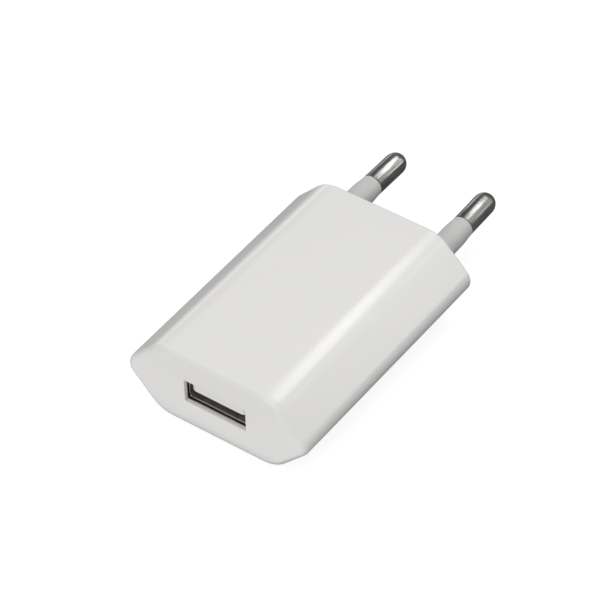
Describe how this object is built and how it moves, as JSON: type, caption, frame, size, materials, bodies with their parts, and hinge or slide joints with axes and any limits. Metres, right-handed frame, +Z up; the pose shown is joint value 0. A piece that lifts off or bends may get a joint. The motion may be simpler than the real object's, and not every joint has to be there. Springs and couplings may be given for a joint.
{
  "type": "usb wall charger",
  "caption": "Flat white USB wall charger: six-sided plastic body, one USB-A socket in its end face, two round mains pins with insulating sleeves at the other end.",
  "frame": {"origin": "middle of the underside of the whole charger, pins included", "axes": "+Y from the USB end to the tips of the mains pins, +Z up from the large flat face that it lies on, X across"},
  "size_m": [0.0354, 0.0662, 0.0152],
  "materials": {
    "white_gloss_plastic": "glossy moulded, faintly warm white",
    "sleeve_plastic": "satin grey-white",
    "nickel_plate": "polished nickel on brass",
    "tinned_steel": "rolled sheet, tin plated",
    "contact_plate": "gold flash on a copper alloy",
    "spring_bronze": "rolled strip",
    "socket_plastic": "white moulded",
    "board_laminate": "tan paper laminate",
    "ferrite": "sintered, dark grey",
    "bobbin_plastic": "black moulded",
    "enamelled_copper": "lacquered wire",
    "polyester_tape": "yellow film",
    "can_sleeve": "dark shrink sleeve",
    "epoxy_black": "moulded epoxy",
    "resistor_coat": "flameproof coat",
    "choke_coat": "dipped coat",
    "disc_coat": "dipped coat",
    "chip_ceramic": "fired ceramic"
  },
  "bodies": {
    "charger": {"housing_shell": "white_gloss_plastic", "pin_plate": "white_gloss_plastic", "mains_pin_left": "nickel_plate", "mains_pin_right": "nickel_plate", "pin_sleeve_left": "sleeve_plastic", "pin_sleeve_right": "sleeve_plastic", "mains_spring_left": "spring_bronze", "mains_spring_right": "spring_bronze", "usb_shell": "tinned_steel", "usb_insulator": "socket_plastic", "usb_terminal_1": "contact_plate", "usb_terminal_2": "contact_plate", "usb_terminal_3": "contact_plate", "usb_terminal_4": "contact_plate", "circuit_board": "board_laminate", "transformer_core_left": "ferrite", "transformer_core_right": "ferrite", "transformer_bobbin": "bobbin_plastic", "primary_winding": "enamelled_copper", "secondary_winding": "enamelled_copper", "winding_tape": "polyester_tape", "input_capacitor_1": "can_sleeve", "input_capacitor_2": "can_sleeve", "output_capacitor": "can_sleeve", "fusible_resistor": "resistor_coat", "filter_choke": "choke_coat", "output_diode": "epoxy_black", "clamp_diode": "epoxy_black", "safety_capacitor": "disc_coat", "bridge_rectifier": "epoxy_black", "controller_chip": "epoxy_black", "ceramic_capacitor": "chip_ceramic", "load_resistor": "epoxy_black"},
    "contact_1": {"usb_contact_1": "contact_plate"},
    "contact_2": {"usb_contact_2": "contact_plate"},
    "contact_3": {"usb_contact_3": "contact_plate"},
    "contact_4": {"usb_contact_4": "contact_plate"}
  },
  "joints": [
    {"name": "contact_1_flex", "type": "hinge", "parent": "charger", "child": "contact_1", "pos_m": [-0.0035, -0.02295, 0.008], "axis": [-1, 0, 0], "range_deg": [0, 3], "stiffness_Nm_per_rad": 0.15},
    {"name": "contact_2_flex", "type": "hinge", "parent": "charger", "child": "contact_2", "pos_m": [-0.001, -0.02295, 0.008], "axis": [-1, 0, 0], "range_deg": [0, 3], "stiffness_Nm_per_rad": 0.15},
    {"name": "contact_3_flex", "type": "hinge", "parent": "charger", "child": "contact_3", "pos_m": [0.001, -0.02295, 0.008], "axis": [-1, 0, 0], "range_deg": [0, 3], "stiffness_Nm_per_rad": 0.15},
    {"name": "contact_4_flex", "type": "hinge", "parent": "charger", "child": "contact_4", "pos_m": [0.0035, -0.02295, 0.008], "axis": [-1, 0, 0], "range_deg": [0, 3], "stiffness_Nm_per_rad": 0.15}
  ]
}
